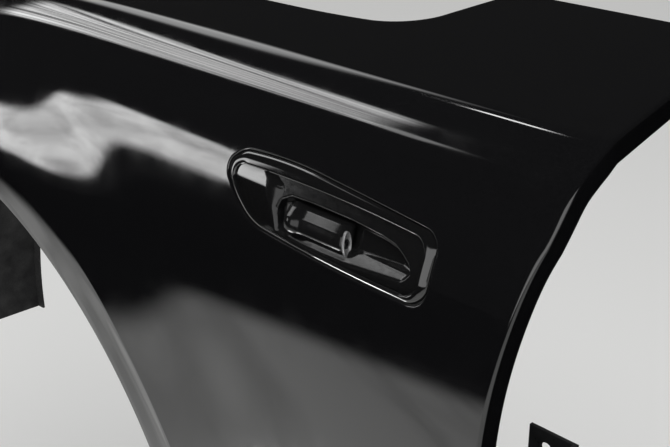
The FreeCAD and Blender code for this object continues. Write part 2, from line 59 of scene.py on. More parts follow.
# Profile of the side: (inboard of the crease, above the crease)
deck_rows = [(225, 15.5), (180, 12.5), (140, 9.8), (105, 7.3), (75, 5.2), (50, 3.5),
             (30, 2.1), (15, 1.0), (6, 0.4), (0, 0)]
flank_rows = [(-7, -5), (-14, -11), (-20, -17), (-24, -23.5), (-27, -31), (-30.5, -39),
              (-35, -48), (-39, -57), (-42.5, -68), (-46, -82), (-50, -100), (-54, -122),
              (-57.5, -148), (-60, -180), (-61.5, -215), (-62, -255), (-61.5, -300),
              (-59.5, -350), (-56, -405), (-51, -465), (-44, -530), (-35, -600),
              (-24, -670), (-14, -725)]


def at_car(x, y, z):
    return Vector((x, y, z)) * MM + arch_centre


def swollen(x, y, z):
    """Side's distance inboard, pulled out towards the lip of the arch."""
    reach = (arch_radius + flare_reach - math.hypot(x, z)) / flare_reach
    if reach <= 0:
        return y
    swell = reach * reach * (1.5 - 0.5 * reach)
    if reach >= flare_end:
        swell = flare_end_swell + reach - flare_end
    return y - max(least_swell, y - lip_y) * swell


body_net = []
for station in range(station_count):
    x = station_first + station * station_step
    y0 = crease_y + nose_taper * max(0.0, nose_taper_from - x) ** 2
    z0 = crease_z - nose_drop * max(0.0, nose_drop_from - x) ** 2
    rows = [(x, y0 + dy, z0 + dz) for dy, dz in deck_rows]
    rows += [(x, swollen(x, y0 + dy, z0 + dz), z0 + dz) for dy, dz in flank_rows]
    body_net.append(rows)
body_net = np.array(body_net, float)
profile_end = body_net.shape[1] - 3.0


def blend_weights(count, t):
    """Weights of a clamped cubic's control points at parameter t."""
    spans = count - 3
    knots = [0.0] * 3 + [float(k) for k in range(spans + 1)] + [float(spans)] * 3
    k = min(int(t), spans - 1) + 3
    weight = [1.0]
    for degree in range(1, 4):
        raised = [0.0] * (degree + 1)
        for r in range(degree):
            low, high = knots[k - degree + 1 + r], knots[k + 1 + r]
            share = weight[r] / (high - low)
            raised[r] += share * (high - t)
            raised[r + 1] += share * (t - low)
        weight = raised
    full = np.zeros(count)
    full[k - 3:k + 1] = weight
    return full


def along_car(x):
    """Weights of the profiles at x."""
    return blend_weights(station_count, (x - station_first) / station_step - 1)


def down_side(v):
    """Weights of a profile's points at v, counted down from the deck's inner edge."""
    return blend_weights(body_net.shape[1], v)


def net_row(x):
    """The net's own profile nearest to x."""
    return body_net[round((x - station_first) / station_step)]


def profile_at(x, axis, value):
    """Where the profile at x crosses a distance inboard (axis 1) or a height (axis 2)."""
    line = (along_car(x) @ body_net.reshape(station_count, -1)).reshape(-1, 3)[:, axis]
    low, high, halvings = 0.0, profile_end, 24
    for _ in range(halvings):
        middle = (low + high) / 2
        if down_side(middle) @ line > value:
            low = middle
        else:
            high = middle
    return low


# The skin is laid out flat to be cut: x along the car, and the girth of a profile downwards.
girth_x, girth_count = 300.0, 400
girth_v = np.linspace(0, profile_end, girth_count)
girth_line = np.array([down_side(v) for v in girth_v])
girth_points = np.einsum("pj,ijk,i->pk", girth_line, body_net, along_car(girth_x))
girth = np.concatenate([[0], np.cumsum(np.linalg.norm(np.diff(girth_points, axis=0), axis=1))])


def laid_out(x, v):
    """Where a place on the skin lies in the flat layout."""
    return Vector((x, float(np.interp(v, girth_v, girth))))


def on_side(x, z):
    return laid_out(x, profile_at(x, 2, z))


def on_deck(x, y):
    return laid_out(x, profile_at(x, 1, y))


def arc_points(a, b, c, count):
    """Points after a on the arc from a through b to c."""
    (ax, ay), (bx, by), (cx, cy) = a, b, c
    twice = 2 * (ax * (by - cy) + bx * (cy - ay) + cx * (ay - by))
    aa, bb, cc = ax * ax + ay * ay, bx * bx + by * by, cx * cx + cy * cy
    mx = (aa * (by - cy) + bb * (cy - ay) + cc * (ay - by)) / twice
    my = (aa * (cx - bx) + bb * (ax - cx) + cc * (bx - ax)) / twice
    start, middle, end = [math.atan2(q - my, p - mx) for p, q in (a, b, c)]
    sweep = (end - start) % (2 * math.pi)
    if (middle - start) % (2 * math.pi) > sweep:
        sweep -= 2 * math.pi
    radius = math.hypot(ax - mx, ay - my)
    turns = [start + sweep * k / count for k in range(1, count + 1)]
    return [(mx + radius * math.cos(t), my + radius * math.sin(t)) for t in turns]


def outline(steps, counts=None):
    """Points along an outline: a step (a, b) is a line, (am, bm, a, b) an arc through (am, bm)."""
    spacing = 4.0
    here = steps[0]
    points = [here]
    for index, step in enumerate(steps[1:]):
        there = step[-2:]
        reach = math.dist(here, there)
        count = counts[index] if counts else max(1, round(reach / spacing))
        if len(step) == 4:
            points += arc_points(here, step[:2], there, max(3, count))
        else:
            points += [(here[0] + (there[0] - here[0]) * k / count,
                        here[1] + (there[1] - here[1]) * k / count) for k in range(1, count + 1)]
        here = there
    return points


# Each edge is cut inside the outline by the roll that it gets afterwards.
edge_roll = inset = 2.2
rear_foot_x, rear_top_x = 582.0, 617.0
nose_x, nose_z = -477.0, 246.0
cowl_y, deck_front_y, deck_rear_y = 235.0, 152.0, 117.0
deck_corner_x = 401.0
deck_end_x, nose_run, crease_drop = 585.0, 69.0, 5.0
arch_front = math.radians(150.0)
arch_foot = math.asin((sill_z + inset) / arch_radius)
arch_count = 270
arch_loop = [on_side(arch_radius * math.cos(t), arch_radius * math.sin(t))
             for t in np.linspace(arch_foot, arch_front, arch_count)]
nose_loop = outline([(arch_radius * math.cos(arch_front), arch_radius * math.sin(arch_front)),
                     (nose_x + inset + 22, nose_z + inset - 6),
                     (nose_x + inset + 3, nose_z + inset + 3, nose_x + inset + 4, nose_z + 26),
                     (nose_x + inset + 62, nose_z + 150)])
deck_edge_y, corner_x = deck_rear_y - inset, deck_corner_x + inset
deck_loop = outline([(nose_x - 43, deck_front_y + 12 - inset),
                     (deck_corner_x - 521, deck_edge_y - 1.5, deck_corner_x - 133, deck_edge_y - 6.3),
                     (deck_corner_x - 71, deck_edge_y, corner_x - 29 - 0.75 * inset, deck_edge_y + 9),
                     (corner_x - 7.7 - 0.2 * inset, deck_edge_y + 23.5 + 0.4 * inset,
                      corner_x, deck_edge_y + 48 + inset),
                     (corner_x + 4, cowl_y - inset), (deck_end_x - inset, cowl_y - inset)])
deck_loop = [point for point in deck_loop if point[0] > nose_x + inset + nose_run]
deck_end_loop = outline([(deck_end_x - inset, cowl_y - inset), (deck_end_x + 17 - inset, 118),
                         (rear_top_x - 0.8 - inset, 46)])
rear_loop = outline([(rear_top_x - inset, crease_z - crease_drop), (rear_top_x - 7.5 - inset, crease_z - 48),
                     (rear_top_x - 18.5 - inset, crease_z - 100, rear_top_x - 24 - inset, crease_z - 168),
                     (rear_foot_x - inset, sill_z + inset),
                     (arch_radius * math.cos(arch_foot) + 4, sill_z + inset)])
outer_loop = arch_loop + [on_side(*p) for p in nose_loop[1:]]
outer_loop += [on_deck(*p) for p in deck_loop + deck_end_loop[1:]]
outer_loop += [on_side(*p) for p in rear_loop]

# Outline of the camera unit seen from the side, and of the hollow inside its frame, as
# (x, height) steps that answer to each other one by one
left, right, low, high = 372.0, 544.0, 397.4, 446.4
frame_steps = [(left + 14, high - 1.7), (left + 44, high, left + 74, high - 0.7),
               (right - 54, high - 4, right - 10, high - 7.7), (right - 2.7, high - 11, right, high - 18.9),
               (right - 1.1, low + 13.6), (right - 4, low + 4.4, right - 14, low),
               (right - 69, low + 1.8, left + 40, low + 6), (left + 26, low + 9.5, left + 16.3, low + 15.4),
               (left + 9, low + 21.3, left + 3.4, low + 27.6), (left, high - 13.4, left + 4.6, high - 6.5),
               (left + 8.6, high - 3.6, left + 14, high - 1.7)]
hollow_steps = [(left + 16, high - 9.8), (left + 45, high - 9.2, left + 74, high - 9.1),
                (right - 54, high - 10.1, right - 18, high - 12.1),
                (right - 10, high - 14.8, right - 6.6, high - 21.9), (right - 8, low + 15.6),
                (right - 10.5, low + 7.2, right - 18, low + 2.8),
                (right - 69, low + 3.3, left + 42, low + 7.5),
                (left + 28, low + 10.7, left + 19, low + 16.1),
                (left + 13, low + 21.3, left + 8.6, low + 26.8),
                (left + 5.8, high - 16.2, left + 8.4, high - 11.6),
                (left + 11.6, high - 10.1, left + 16, high - 9.8)]
step_counts = [26, 40, 12, 10, 14, 50, 12, 12, 14, 8]
frame_outline = outline(frame_steps, counts=step_counts)[:-1]
hollow_outline = outline(hollow_steps, counts=step_counts)[:-1]


def grown(points, width):
    """A closed outline moved outwards by a width."""
    points = np.array(points)
    along = np.roll(points, -1, axis=0) - np.roll(points, 1, axis=0)
    along /= np.linalg.norm(along, axis=1)[:, None]
    middle = points.mean(axis=0)
    out = np.stack([along[:, 1], -along[:, 0]], axis=1)
    if np.sum(out * (points - middle)) < 0:
        out = -out
    return [tuple(p) for p in points + out * width]


joint_gap, hole_roll, hole_depth = 0.8, 0.9, 2.5
hole_loop = [on_side(*p) for p in grown(frame_outline, joint_gap + hole_roll)]


def inside(points, loop):
    """Which points lie within a closed loop."""
    loop = np.array([tuple(p) for p in loop])
    within = np.zeros(len(points), bool)
    for (ax, ay), (bx, by) in zip(loop, np.roll(loop, -1, axis=0)):
        if ay != by:
            crosses = (ay > points[:, 1]) != (by > points[:, 1])
            within ^= crosses & (points[:, 0] < (bx - ax) * (points[:, 1] - ay) / (by - ay) + ax)
    return within


def clear_of(points, loop, reach):
    """Which points keep more than a reach away from a loop."""
    loop = np.array([tuple(p) for p in loop])
    keep = np.ones(len(points), bool)
    for start in range(0, len(loop), 100):
        near = loop[start:start + 100]
        gap = np.hypot(points[:, None, 0] - near[None, :, 0], points[:, None, 1] - near[None, :, 1])
        keep &= gap.min(axis=1) > reach
    return keep


# Points inside the outline, denser where the profile turns, and in rows beside each cut edge
mesh_step, mesh_drop, outer_margin, hole_margin = 7.0, 6.5, 7.0, 5.0
across = np.arange(nose_x, rear_top_x, mesh_step)
profile = net_row(280.0)
down = []
for row in range(body_net.shape[1] - 4):
    pieces = max(2, round(np.linalg.norm(profile[row + 2] - profile[row + 1]) / mesh_drop))
    down += [float(np.interp(row + k / pieces, girth_v, girth)) for k in range(pieces)]
field = np.array([(x, s) for x in across for s in down])
field = field[inside(field, outer_loop)]
field = field[clear_of(field, outer_loop, outer_margin)]
field = field[~inside(field, hole_loop)]
field = field[clear_of(field, hole_loop, hole_margin)]
row_gaps, row_clearance = (0.8, 3.6), 0.9
for loop, side in ((outer_loop, -1), (hole_loop, 1)):
    for gap in row_gaps:
        row = np.array(grown([tuple(p) for p in loop], side * gap))
        field = np.concatenate([field, row[clear_of(row, loop, row_clearance * gap)]])
cut_edges, cut_points = [], []
for loop in (outer_loop, hole_loop):
    first = len(cut_points)
    cut_points += loop
    cut_edges += [(first + k, first + (k + 1) % len(loop)) for k in range(len(loop))]
cut_points += [Vector(p) for p in field]
valid_faces, same_point = 4, 1e-4
flat_points, _, faces, *_ = delaunay_2d_cdt(cut_points, cut_edges, [], valid_faces, same_point)
weights_x = np.array([along_car(p.x) for p in flat_points])
weights_v = np.array([down_side(float(np.interp(p.y, girth, girth_v))) for p in flat_points])
skin = bmesh.new()
corners = [skin.verts.new(at_car(*p)) for p in np.einsum("pi,pj,ijk->pk", weights_x, weights_v, body_net)]
centres = np.array([np.mean([flat_points[k] for k in face], axis=0) for face in faces])
for face, keep in zip(faces, inside(centres, outer_loop) & ~inside(centres, hole_loop)):
    if keep:
        skin.faces.new([corners[k] for k in face])


def turn_outboard(mesh):
    """Turns a sheet's faces so that they look outboard."""
    mesh.normal_update()
    if sum(face.normal.y * face.calc_area() for face in mesh.faces) > 0:
        bmesh.ops.reverse_faces(mesh, faces=mesh.faces)


turn_outboard(skin)
bmesh.ops.join_triangles(skin, faces=skin.faces, angle_face_threshold=0.1, angle_shape_threshold=0.5)
skin.normal_update()


def drawn_on(mesh, edges, place):
    """Extrudes edges and puts each new vertex where place says; gives the new edges and pairs."""
    made = bmesh.ops.extrude_edge_only(mesh, edges=edges)["geom"]
    fresh = {item for item in made if isinstance(item, bmesh.types.BMVert)}
    pairs = {}
    for vertex in {vertex for edge in edges for vertex in edge.verts}:
        for edge in vertex.link_edges:
            if edge.other_vert(vertex) in fresh:
                pairs[vertex] = edge.other_vert(vertex)
    targets = {vertex: place(vertex) for vertex in pairs}
    for vertex, new in pairs.items():
        new.co = targets[vertex]
    new_edges = [item for item in made if isinstance(item, bmesh.types.BMEdge)
                 and item.verts[0] in fresh and item.verts[1] in fresh]
    return new_edges, pairs


def folded(mesh, edges, steps):
    """Turns free edges over: each step is (out along the surface, in square to it), in mm."""
    frames = {}
    for edge in edges:
        face = edge.link_faces[0]
        middle = (edge.verts[0].co + edge.verts[1].co) / 2
        along = (edge.verts[1].co - edge.verts[0].co).normalized()
        out = along.cross(face.normal).normalized()
        if out.dot(middle - face.calc_center_median()) < 0:
            out = -out
        for vertex in edge.verts:
            frames.setdefault(vertex, []).append((out, face.normal.copy()))
    start, tightest = {}, 0.5
    for vertex, found in frames.items():
        out = sum((pair[0] for pair in found), Vector()).normalized()
        square = sum((pair[1] for pair in found), Vector()).normalized()
        start[vertex] = (vertex.co.copy(), out / max(tightest, out.dot(found[0][0])), square)
    for step_out, step_in in steps:
        edges, pairs = drawn_on(mesh, edges, lambda vertex: start[vertex][0]
                                + start[vertex][1] * step_out * MM - start[vertex][2] * step_in * MM)
        start = {new: start[old] for old, new in pairs.items()}
    return edges


def roll_steps(radius, depth):
    """Steps of a quarter turn, and of a straight wall below it."""
    count = 5
    turns = [math.pi / 2 * k / count for k in range(1, count + 1)]
    steps = [(radius * math.sin(t), radius * (1 - math.cos(t))) for t in turns]
    return steps + [(radius, radius + depth)]


# Lip of the arch: a flat band in the same sheet, then its own turned-in edge
free_edges = [edge for edge in skin.edges if edge.is_boundary]
from_centre = {vertex: vertex.co - arch_centre for edge in free_edges for vertex in edge.verts}
arch_slack = 0.3


def on_arch_edge(edge):
    places = [from_centre[vertex] / MM for vertex in edge.verts]
    return all(abs(math.hypot(p.x, p.z) - arch_radius) < arch_slack for p in places)


def band_point(vertex, radius, y):
    """The same share of the way round the arch, on another radius."""
    place = from_centre[vertex]
    angle = math.atan2(place.z, place.x)
    foot = math.asin((sill_z + inset) / radius)
    turn = foot + (angle - arch_foot) * (arch_front - foot) / (arch_front - arch_foot)
    return at_car(radius * math.cos(turn), y, radius * math.sin(turn))


arch_edges = [edge for edge in free_edges if on_arch_edge(edge)]
inner_radius = arch_radius - lip_width
band_radii = [arch_radius - 6, arch_radius - 17, inner_radius + 8, inner_radius + edge_roll]
for radius in band_radii:
    arch_edges, pairs = drawn_on(skin, arch_edges, lambda vertex: band_point(vertex, radius, lip_y))
    from_centre.update({new: from_centre[old] for old, new in pairs.items()})
hole_edges, outer_edges = [], []
margin = 6.0
for edge in skin.edges:
    if edge.is_boundary:
        middle = ((edge.verts[0].co + edge.verts[1].co) / 2 - arch_centre) / MM
        beside_unit = left - margin < middle.x < right + margin
        near_hole = beside_unit and low - margin < middle.z < high + margin
        (hole_edges if near_hole else outer_edges).append(edge)
skin.normal_update()
turned_depth, shelf_width, shelf_slope = 14.0, 40.0, 0.07
edge_drift, corner_run = 12.0, 28.0
turned_edges = folded(skin, outer_edges, roll_steps(edge_roll, turned_depth - edge_roll))


def on_deck_edge(edge):
    """Whether an edge runs along the deck, ahead of its corner."""
    places = [(vertex.co - arch_centre) / MM for vertex in edge.verts]
    run = places[1] - places[0]
    ahead = all(p.y > deck_rear_y - edge_drift and p.x < corner_x - corner_run for p in places)
    return ahead and abs(run.x) > abs(run.z)


drawn_on(skin, [edge for edge in turned_edges if on_deck_edge(edge)],
         lambda vertex: vertex.co + Vector((0, shelf_width, shelf_slope * shelf_width)) * MM)
folded(skin, hole_edges, roll_steps(hole_roll, hole_depth))
wing_mesh = bpy.data.meshes.new("wing_skin")
skin.to_mesh(wing_mesh)
wing_skin = bpy.data.objects.new("wing_skin", wing_mesh)
scene.collection.objects.link(wing_skin)


def with_wall(sheet, thickness, inner_material=0):
    """Gives a sheet its wall on the inner side, with crisp corners where it turns sharply."""
    sharp_turn = math.radians(40.0)
    wall = sheet.modifiers.new("wall", "SOLIDIFY")
    wall.thickness = thickness * MM
    wall.offset = -1
    wall.material_offset = inner_material
    finished = sheet.evaluated_get(bpy.context.evaluated_depsgraph_get())
    whole = bpy.data.meshes.new_from_object(finished)
    whole.name = sheet.name
    sheet.modifiers.clear()
    sheet.data = whole
    whole.shade_smooth()
    whole.set_sharp_from_angle(angle=sharp_turn)


def finish(name, colour, roughness, **sockets):
    """A new material with its shader; the shader's own sockets hold what is the same all over."""
    material = bpy.data.materials.new(name)
    material.use_nodes = True
    shader = material.node_tree.nodes["Principled BSDF"]
    shader.inputs["Base Color"].default_value = (*colour, 1)
    shader.inputs["Roughness"].default_value = roughness
    for socket, value in sockets.items():
        shader.inputs[socket.replace("_", " ")].default_value = value
    return material


def grain(material, scale, detail):
    """A noise pattern on the piece's own coordinates, in cells of 1/scale metres."""
    nodes, links = material.node_tree.nodes, material.node_tree.links
    place = nodes.new("ShaderNodeTexCoord")
    noise = nodes.new("ShaderNodeTexNoise")
    noise.inputs["Scale"].default_value = scale
    noise.inputs["Detail"].default_value = detail
    links.new(place.outputs["Object"], noise.inputs["Vector"])
    return noise.outputs["Fac"]


def ranged(material, pattern, socket, low, high):
    """Drives a shader's socket from a pattern, between two values or two colours."""
    start, end = 0.3, 0.7
    nodes, links = material.node_tree.nodes, material.node_tree.links
    shader = nodes["Principled BSDF"]
    if isinstance(low, tuple):
        ramp = nodes.new("ShaderNodeValToRGB")
        for stop, position, colour in zip(ramp.color_ramp.elements, (start, end), (low, high)):
            stop.position, stop.color = position, (*colour, 1)
        links.new(pattern, ramp.inputs["Fac"])
        links.new(ramp.outputs["Color"], shader.inputs[socket])
    else:
        span = nodes.new("ShaderNodeMapRange")
        for name, value in zip(("From Min", "From Max", "To Min", "To Max"), (start, end, low, high)):
            span.inputs[name].default_value = value
        links.new(pattern, span.inputs["Value"])
        links.new(span.outputs["Result"], shader.inputs[socket])


def bumped(material, pattern, depth, socket="Normal"):
    """Raises a pattern from the surface by a depth in metres."""
    nodes, links = material.node_tree.nodes, material.node_tree.links
    bump = nodes.new("ShaderNodeBump")
    bump.inputs["Strength"].default_value = 1.0
    bump.inputs["Distance"].default_value = depth
    links.new(pattern, bump.inputs["Height"])
    links.new(bump.outputs["Normal"], nodes["Principled BSDF"].inputs[socket])


# Black enamel under clear lacquer, with the faint ripple of sprayed lacquer
paint = finish("black_paint", (0.004, 0.004, 0.0045), 0.08, Coat_Weight=1.0, Coat_Roughness=0.015)
ranged(paint, grain(paint, 900, 2), "Base Color", (0.0032, 0.0032, 0.0036), (0.0055, 0.0055, 0.006))
ranged(paint, grain(paint, 60, 4), "Roughness", 0.05, 0.12)
bumped(paint, grain(paint, 210, 1.5), 4.0e-6, "Coat Normal")
primer = finish("inner_primer", (0.03, 0.032, 0.034), 0.5)
ranged(primer, grain(primer, 45, 5), "Base Color", (0.022, 0.023, 0.025), (0.045, 0.047, 0.05))
ranged(primer, grain(primer, 320, 3), "Roughness", 0.38, 0.6)
bumped(primer, grain(primer, 700, 2), 2.0e-5)
wing_mesh.materials.append(paint)
wing_mesh.materials.append(primer)
with_wall(wing_skin, skin_thickness, 1)
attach(wing_skin, "root")
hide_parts("wing_panel")

# Camera unit's frame
# A moulded ring of gloss black plastic that drops into the wing's opening. Its outer edge rolls
# into the joint, its land is wide above and behind, and its inner edge turns down to the hollow.
unit_x, unit_bottom, unit_top, unit_count = 460.0, 385.0, 455.0, 71
unit_rows = np.linspace(unit_bottom, unit_top, unit_count)
unit_side = [float(down_side(profile_at(unit_x, 2, z)) @ net_row(unit_x)[:, 1]) for z in unit_rows]


def on_unit(x, z, depth):
    """A place in the unit, a depth in millimetres behind the wing's own surface."""
    return at_car(x, float(np.interp(z, unit_rows, unit_side)) + depth, z)


fall_from, fall_length, fall_slope, fall_lift = 531.0, 9.0, 2.1, 0.7


def rear_fall(x, share):
    """The land's rear end slopes down towards the joint."""
    near = min(1.0, max(0.0, (x - fall_from) / fall_length))
    return near * near * (3 - 2 * near) * (fall_slope * (1 - share) - fall_lift)


def ring_of(mesh, points):
    """A closed ring of edges through points."""
    corners = [mesh.verts.new(point) for point in points]
    return [mesh.edges.new((corners[k - 1], corners[k])) for k in range(len(corners))], corners


def next_ring(mesh, edges, corners, points):
    """Draws a ring on to the next one, point by point."""
    targets = dict(zip(corners, points))
    edges, pairs = drawn_on(mesh, edges, lambda vertex: targets[vertex])
    return edges, [pairs[vertex] for vertex in corners]


def closed_ring(rings):
    """A solid ring, drawn from one ring of points to the next and back to the first."""
    mesh = bmesh.new()
    first_edges, corners = ring_of(mesh, rings[0])
    edges = first_edges
    for points in rings[1:]:
        edges, corners = next_ring(mesh, edges, corners, points)
    bmesh.ops.bridge_loops(mesh, edges=first_edges + edges)
    bmesh.ops.recalc_face_normals(mesh, faces=mesh.faces)
    return mesh


# Each ring of the frame: (millimetres in from the outer edge, share of the land's width, depth)
frame_rings = [(0, 0, 7.5), (0, 0, 2.0), (0.15, 0, 1.32), (0.52, 0, 0.72), (1.1, 0, 0.27),
               (1.7, 0, 0.03), (0, 0.45, -0.22), (0, 0.8, -0.2), (0, 0.9, -0.08), (0, 0.96, 0.16),
               (0, 0.99, 0.5), (0, 1, 0.9), (0, 1, 7.5)]
widest_roll = 0.62


def frame_ring(width, share, depth):
    """Points of one ring, between the frame's outline and the hollow's."""
    points = []
    for (ox, oz), (ix, iz) in zip(frame_outline, hollow_outline):
        wide = math.hypot(ix - ox, iz - oz)
        part = max(share, min(width / wide, widest_roll))
        x, z = ox + (ix - ox) * part, oz + (iz - oz) * part
        points.append(on_unit(x, z, depth + rear_fall(x, part)))
    return points


def piece(name, mesh, material, node):
    """Hands a finished bmesh over as a piece that rides on the part and stands for its node."""
    data = bpy.data.meshes.new(name)
    mesh.to_mesh(data)
    mesh.free()
    data.shade_smooth()
    data.materials.append(material)
    new = bpy.data.objects.new(name, data)
    scene.collection.objects.link(new)
    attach(new, "root")
    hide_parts(node)
    return new


gloss = finish("gloss_plastic", (0.005, 0.005, 0.005), 0.05, Coat_Weight=1.0, Coat_Roughness=0.03)
ranged(gloss, grain(gloss, 1500, 2), "Base Color", (0.004, 0.004, 0.0042), (0.007, 0.007, 0.0072))
ranged(gloss, grain(gloss, 150, 3), "Roughness", 0.03, 0.08)
bumped(gloss, grain(gloss, 500, 1.5), 1.5e-6)
unit_frame = closed_ring([frame_ring(*ring) for ring in frame_rings])
piece("unit_frame", unit_frame, gloss, "camera_bezel")

# Nose cover and hollow behind it
# One moulding inside the frame: the nose cover carries on the wing's surface, rolls down at its
# rear to a plate, and a boat-shaped hollow in the plate keeps the view open behind the camera.
cover_depth, cover_rear, cover_turn = 0.35, 418.0, 0.028
cover_roll, cover_roll_from, cover_roll_length = 0.11, 429.0, 5.0
plate_depth, step_depth, step_top, foot_slack = 3.0, 5.0, 430.0, 0.01
wall_rise, wall_turn, wall_turn_from, wall_foot = 0.62, -0.05, 478.0, 402.2
wall_top, above_wall_rise, low_edge_rise, top_edge_rise = 410.0, 1.5, 2.5, 1.6
heights_of_crest = [402, 406, 413.4, 420, 425, 429.6, 433, 437.5]
crest_line = [418.3, 417.5, 415, 411, 407, 406.5, 406, 402]
heights_of_foot = [402, 410.7, 417.4, 424.2, 428.8, 431.5, 434, 437.5]
foot_line = [421.6, 419.7, 418.2, 420.4, 420.8, 419, 415, 409]
boat_top = [(421, 424), (428, 427.5), (450, 428), (478, 427.5), (503, 425.7), (514, 423.6), (520.3, 420),
            (525.4, 416.3), (527.5, 412)]
boat_low = [(421, 406), (430, 404.6), (450, 403.4), (480, 402.9), (492, 402.2), (503, 401.7),
            (512, 402.3), (518.8, 404.3), (524.5, 408.4), (527.5, 412)]
boat_back = [(421, 8), (428, 12), (474, 12), (484, 8.6), (518, 9.4), (527, 7.0)]


def along_line(x, line):
    """Value at x of a line that is given by its corners."""
    return float(np.interp(x, [point[0] for point in line], [point[1] for point in line]))


def cover_at(x, z):
    """The cover lies a little deeper towards the nose, and rolls inwards below its middle."""
    fall = max(0.0, cover_roll_from - z)
    turned = cover_turn * max(0.0, cover_rear - x)
    return cover_depth + turned + cover_roll * fall * fall / (fall + cover_roll_length)


def moulding_depth(x, z):
    """Nose cover, the step at its rear, and a boat with a flat sloping lower wall."""
    crest = float(np.interp(z, heights_of_crest, crest_line))
    foot = float(np.interp(z, heights_of_foot, foot_line))
    if x <= crest:
        return cover_at(x, z)
    if x < foot - foot_slack:
        share = (x - crest) / (foot - crest)
        bottom = step_depth if z < step_top else plate_depth
        start = cover_at(crest, z)
        return start + (bottom - start) * (1 - math.sqrt(1 - share ** 2))
    low, top = along_line(x, boat_low), along_line(x, boat_top)
    if not low < z < top or x > boat_low[-1][0]:
        return plate_depth
    slope = wall_rise * (z - wall_foot) + wall_turn * max(0.0, x - wall_turn_from)
    slope += above_wall_rise * max(0.0, z - wall_top)
    wall = min(slope, low_edge_rise * (z - low), top_edge_rise * (top - z))
    return min(along_line(x, boat_back), plate_depth + max(0.0, wall))


columns, rows = 300, 72
tip_share, step_blend, edge_rounding = 0.02, 9.0, (-0.8, -0.4, 0, 0.4, 0.8)
moulding_fit, moulding_wall = 0.08, 1.5
hollow = np.array(grown(hollow_outline, -moulding_fit))
first, last = hollow[:, 0].argmin(), hollow[:, 0].argmax()
upper = np.roll(hollow, -first, axis=0)[:(last - first) % len(hollow) + 1]
lower = np.roll(hollow, -last, axis=0)[:(first - last) % len(hollow) + 1][::-1]
if upper[:, 1].mean() < lower[:, 1].mean():
    upper, lower = lower, upper


def across_hollow(x, share):
    """Height at a share of the way from the hollow's lower edge to its upper one."""
    top = float(np.interp(x, upper[:, 0], upper[:, 1]))
    low = float(np.interp(x, lower[:, 0], lower[:, 1]))
    return low + (top - low) * share


nose_tip, length = hollow[first, 0], hollow[last, 0] - hollow[first, 0]
step_x = nose_tip + length * round((cover_rear - nose_tip) / length * columns) / columns
moulding = bmesh.new()
bmesh.ops.create_grid(moulding, x_segments=columns, y_segments=rows, size=0.5)
for vertex in moulding.verts:
    u, w = vertex.co.x + 0.5, vertex.co.y + 0.5
    if u < tip_share or u > 1 - tip_share:
        u = 0.5 - 0.5 * math.cos(math.pi * u)
    x = nose_tip + length * u
    z = across_hollow(x, w)
    near_step = math.exp(-((x - step_x) / step_blend) ** 4)
    x += near_step * (float(np.interp(z, heights_of_foot, foot_line)) - step_x)
    z = across_hollow(x, w)
    depths = [moulding_depth(x, z + shift) for shift in edge_rounding]
    vertex.co = on_unit(x, z, sum(depths) / len(depths))
turn_outboard(moulding)
for face in moulding.faces:
    middle = (face.calc_center_median() - arch_centre) / MM
    behind = middle.x > float(np.interp(middle.z, heights_of_crest, crest_line))
    face.material_index = 1 if behind else 0
satin = finish("unit_satin", (0.005, 0.005, 0.0052), 0.14, Specular_IOR_Level=0.5)
ranged(satin, grain(satin, 1200, 2), "Base Color", (0.004, 0.004, 0.0042), (0.0075, 0.0075, 0.0077))
ranged(satin, grain(satin, 300, 3), "Roughness", 0.1, 0.16)
bumped(satin, grain(satin, 2500, 1.5), 1.0e-6)
hollow_piece = piece("unit_hollow", moulding, gloss, "camera_dish")
hollow_piece.data.materials.append(satin)
with_wall(hollow_piece, moulding_wall)

# Camera pod
# A moulded pod that grows out of the cover's rear face and ends in the camera. Its side is a
# flat window, with a wide bevel above it, and a rounded column joins it to the cover.
# The section is (height, depth), and each station along the pod is (x, outward swell, height share)
pod_middle, swell_reach, swell_scale = 414.7, 14.0, 1.4
pod_section = [(404.6, 12.0), (404.4, 8.0), (405.0, 5.6), (406.6, 3.4), (408.6, 1.9), (409.8, 1.2),
               (410.6, 1.0), (414.0, 1.0), (417.2, 1.0), (417.9, 1.25), (418.6, 1.75), (421.6, 3.7),
               (422.6, 4.5), (423.6, 6.2), (424.2, 8.6), (424.4, 12.0)]
pod_stations = [(426.0, -2.0, 0.80), (426.4, -0.6, 0.9), (427.6, 0.6, 0.98), (429.6, 1.5, 1.03),
                (432.5, 1.9, 1.06), (435.5, 1.5, 1.06), (438.0, 0.6, 1.03), (440.0, 0.1, 1.0),
                (443.0, 0.0, 1.0), (455.0, 0.0, 1.0), (468.0, 0.0, 1.0), (474.0, 0.0, 0.98),
                (476.2, -0.4, 0.95), (477.2, -1.0, 0.92)]


def pod_line(x, swell, share):
    """The section's points at one station."""
    points = []
    for z, depth in pod_section:
        outward = swell_scale * swell * max(0.0, 1 - abs(z - pod_middle) / swell_reach)
        points.append(on_unit(x, pod_middle + (z - pod_middle) * share, depth - outward))
    return points


pod = bmesh.new()
front_chain = chain = [pod.verts.new(point) for point in pod_line(*pod_stations[0])]
edges = [pod.edges.new((chain[k], chain[k + 1])) for k in range(len(chain) - 1)]
for station in pod_stations[1:]:
    edges, chain = next_ring(pod, edges, chain, pod_line(*station))
turn_outboard(pod)
bmesh.ops.contextual_create(pod, geom=chain)
bmesh.ops.contextual_create(pod, geom=front_chain)
bmesh.ops.holes_fill(pod, edges=[edge for edge in pod.edges if edge.is_boundary], sides=0)
bmesh.ops.recalc_face_normals(pod, faces=pod.faces)
piece("camera_pod_shell", pod, satin, "camera_pod")

# Camera lens
# An oval ring of anodised metal is pressed into the pod's rear end, and cones down to a small dark
# dome of coated glass.
lens_x, lens_z, lens_in = 477.3, 413.0, 4.0
lens_y = float(np.interp(lens_z, unit_rows, unit_side)) + lens_in


